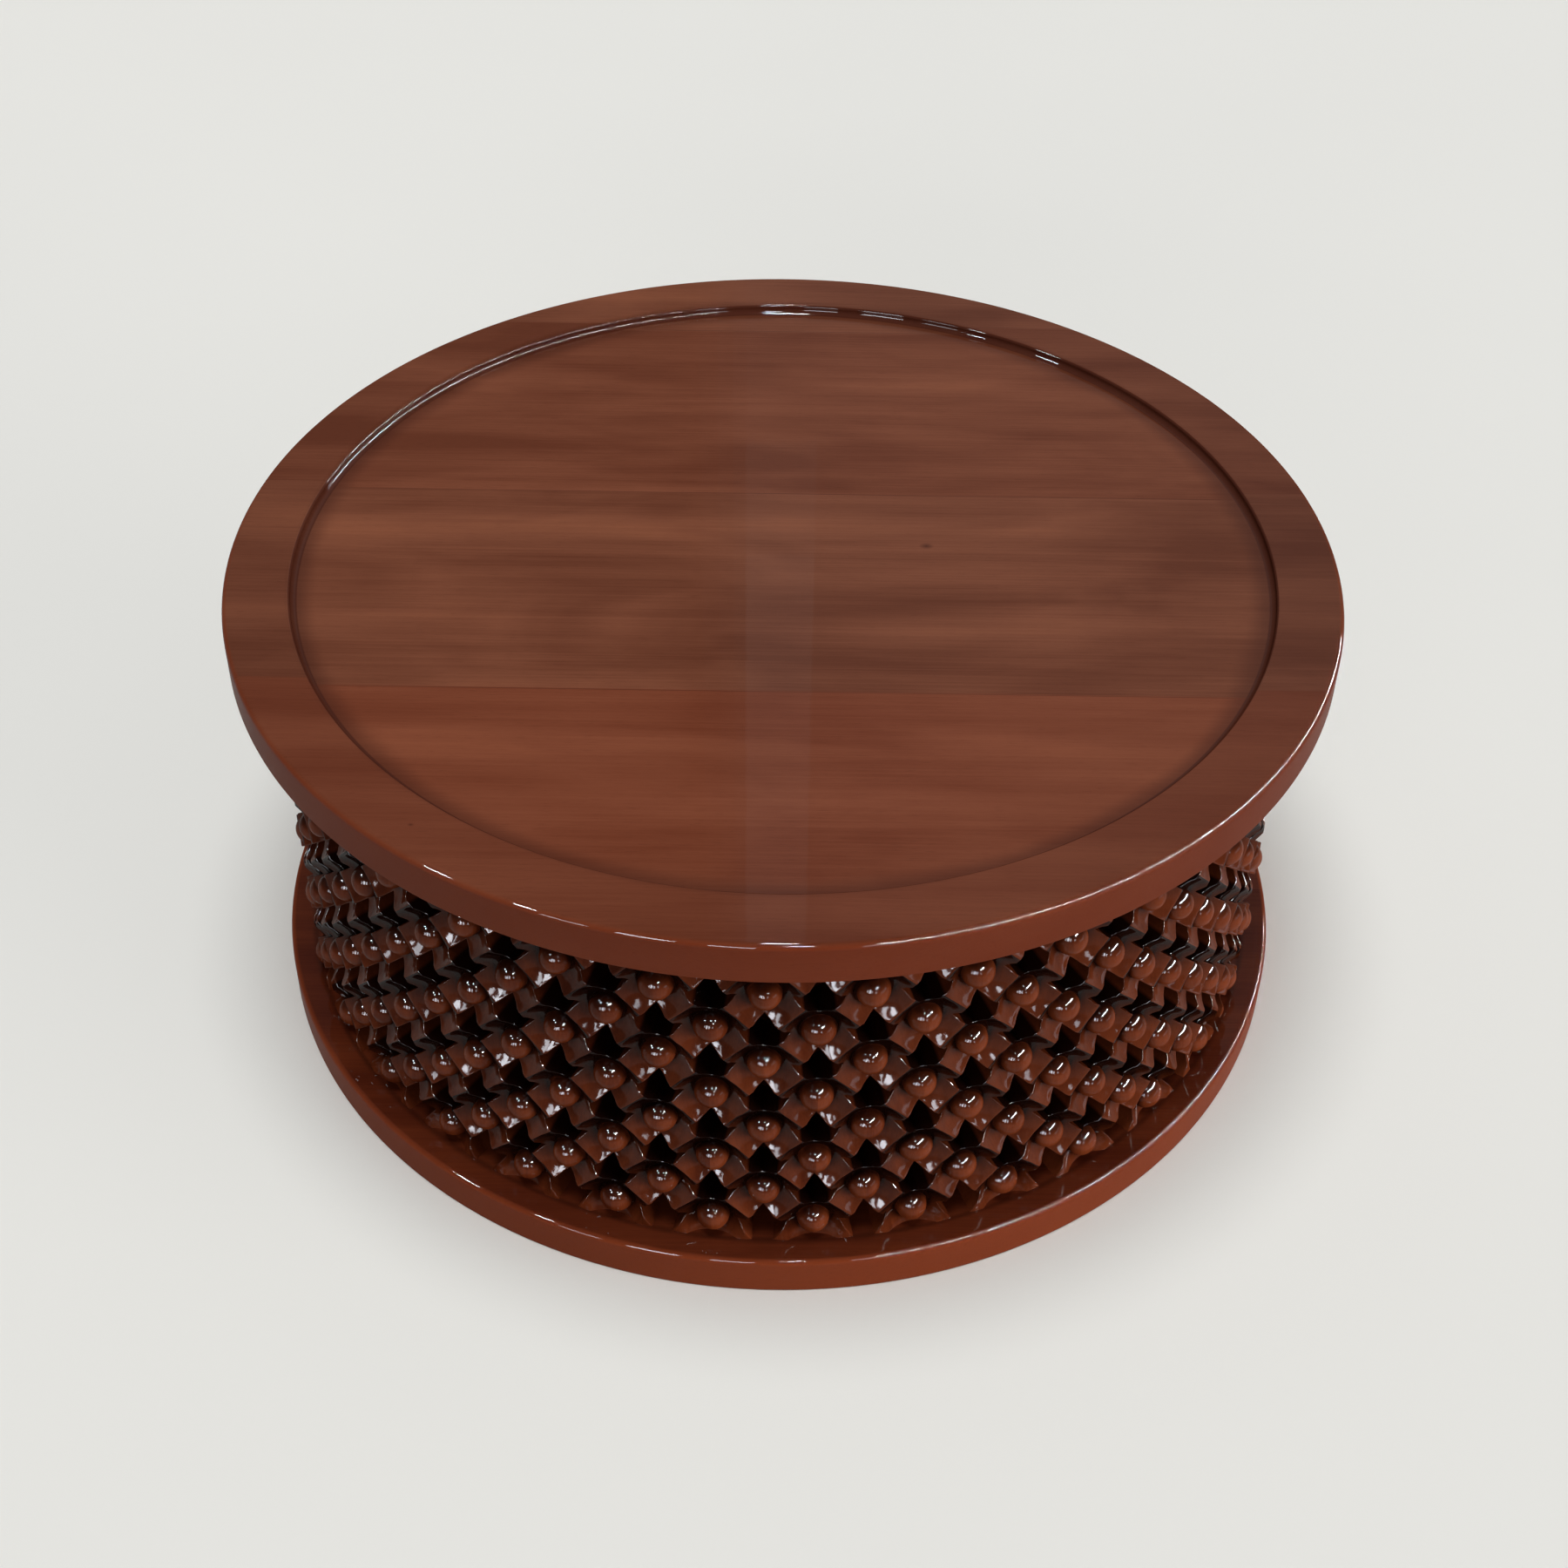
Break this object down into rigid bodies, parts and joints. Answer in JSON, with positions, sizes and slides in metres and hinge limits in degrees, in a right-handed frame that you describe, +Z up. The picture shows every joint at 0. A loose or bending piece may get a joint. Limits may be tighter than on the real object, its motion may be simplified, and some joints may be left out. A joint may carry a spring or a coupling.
{
  "type": "drum table",
  "caption": "Low round table: a tray-like recessed top on a pierced lattice drum carved with round knobs, standing on a round base disc.",
  "frame": {"origin": "centre of the base disc's underside, on the floor", "axes": "+Z up; -Y towards the front of the table as the picture shows it; +X to the right, along the grain of the boards"},
  "size_m": [0.9999, 1, 0.434],
  "materials": {
    "lacquered_top": "red-brown stained hardwood boards under clear gloss lacquer",
    "lacquered_base": "red-brown stained hardwood boards under clear gloss lacquer, a little darker than the top",
    "lacquered_drum": "hand-carved red-brown stained hardwood under clear gloss lacquer",
    "bare_wood": "bare planed hardwood, glued in"
  },
  "bodies": {
    "root": {"top_board_1": "lacquered_top", "top_board_2": "lacquered_top", "top_board_3": "lacquered_top", "top_board_4": "lacquered_top", "top_tongues": "bare_wood", "drum_stave_01": "lacquered_drum", "drum_stave_02": "lacquered_drum", "drum_stave_03": "lacquered_drum", "drum_stave_04": "lacquered_drum", "drum_stave_05": "lacquered_drum", "drum_stave_06": "lacquered_drum", "drum_stave_07": "lacquered_drum", "drum_stave_08": "lacquered_drum", "drum_stave_09": "lacquered_drum", "drum_stave_10": "lacquered_drum", "drum_stave_11": "lacquered_drum", "drum_stave_12": "lacquered_drum", "drum_stave_13": "lacquered_drum", "drum_stave_14": "lacquered_drum", "drum_stave_15": "lacquered_drum", "drum_stave_16": "lacquered_drum", "drum_stave_17": "lacquered_drum", "drum_stave_18": "lacquered_drum", "drum_stave_19": "lacquered_drum", "drum_stave_20": "lacquered_drum", "drum_stave_21": "lacquered_drum", "drum_stave_22": "lacquered_drum", "drum_stave_23": "lacquered_drum", "drum_stave_24": "lacquered_drum", "drum_stave_25": "lacquered_drum", "drum_stave_26": "lacquered_drum", "drum_stave_27": "lacquered_drum", "drum_stave_28": "lacquered_drum", "drum_stave_29": "lacquered_drum", "drum_stave_30": "lacquered_drum", "drum_stave_31": "lacquered_drum", "drum_stave_32": "lacquered_drum", "drum_stave_33": "lacquered_drum", "stave_dowels": "bare_wood", "top_dowels": "bare_wood", "base_dowels": "bare_wood", "base_board_1": "lacquered_base", "base_board_2": "lacquered_base", "base_board_3": "lacquered_base", "base_board_4": "lacquered_base", "base_tongues": "bare_wood"}
  },
  "joints": []
}
